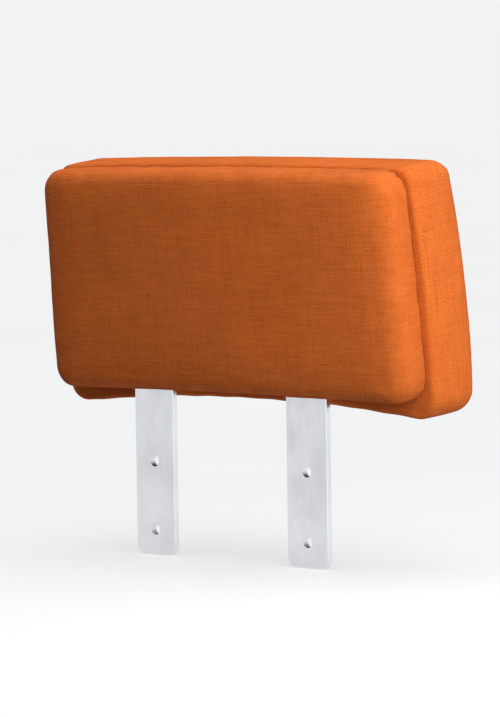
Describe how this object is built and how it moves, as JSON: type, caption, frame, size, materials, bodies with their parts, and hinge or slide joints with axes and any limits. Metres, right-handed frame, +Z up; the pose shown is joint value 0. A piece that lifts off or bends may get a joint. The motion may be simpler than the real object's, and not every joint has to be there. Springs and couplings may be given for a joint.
{
  "type": "chair headrest",
  "caption": "Upholstered office chair headrest that slides up and down on two flat metal bars, with bolt holes at their feet for a backrest frame.",
  "frame": {"origin": "centre of the four bolt holes, on the bars' front faces", "axes": "+X to the sitter's left, +Y towards the back of the headrest, +Z up along the bars"},
  "size_m": [0.2794, 0.0747, 0.2318],
  "materials": {
    "bar_metal": "satin chrome plated flat steel",
    "zinc_steel": "zinc plated",
    "spring_steel": "blued spring steel",
    "cover_fabric": "orange wool-look weave with a slight heather",
    "wadding": "polyester wadding",
    "foam": "moulded polyurethane foam",
    "plywood": "bare plywood",
    "hardboard": "bare hardboard",
    "pine": "bare softwood",
    "nylon": "black nylon",
    "brake_plastic": "acetal",
    "rubber": "black rubber"
  },
  "bodies": {
    "bars": {"bar_left": "bar_metal", "bar_right": "bar_metal", "stop_screw_left": "zinc_steel", "stop_screw_right": "zinc_steel"},
    "pad": {"front_cover": "cover_fabric", "front_wadding": "wadding", "front_foam": "foam", "core_board": "plywood", "staples_front": "zinc_steel", "staples_rear": "zinc_steel", "rear_cover": "cover_fabric", "rear_wadding": "wadding", "rear_board": "hardboard", "batten_bottom": "pine", "batten_top": "pine", "batten_left": "pine", "batten_right": "pine", "guide_left": "nylon", "guide_plate_left": "zinc_steel", "brake_shoe_left": "brake_plastic", "leaf_spring_left": "spring_steel", "bump_stop_left": "rubber", "guide_right": "nylon", "guide_plate_right": "zinc_steel", "brake_shoe_right": "brake_plastic", "leaf_spring_right": "spring_steel", "bump_stop_right": "rubber", "guide_screws": "zinc_steel", "tee_nuts": "zinc_steel", "plate_screws": "zinc_steel", "panel_studs": "nylon", "stud_sockets": "nylon"}
  },
  "joints": [
    {"name": "height_slide", "type": "slide", "parent": "bars", "child": "pad", "axis": [0, 0, 1], "range_m": [0, 0.04]}
  ]
}
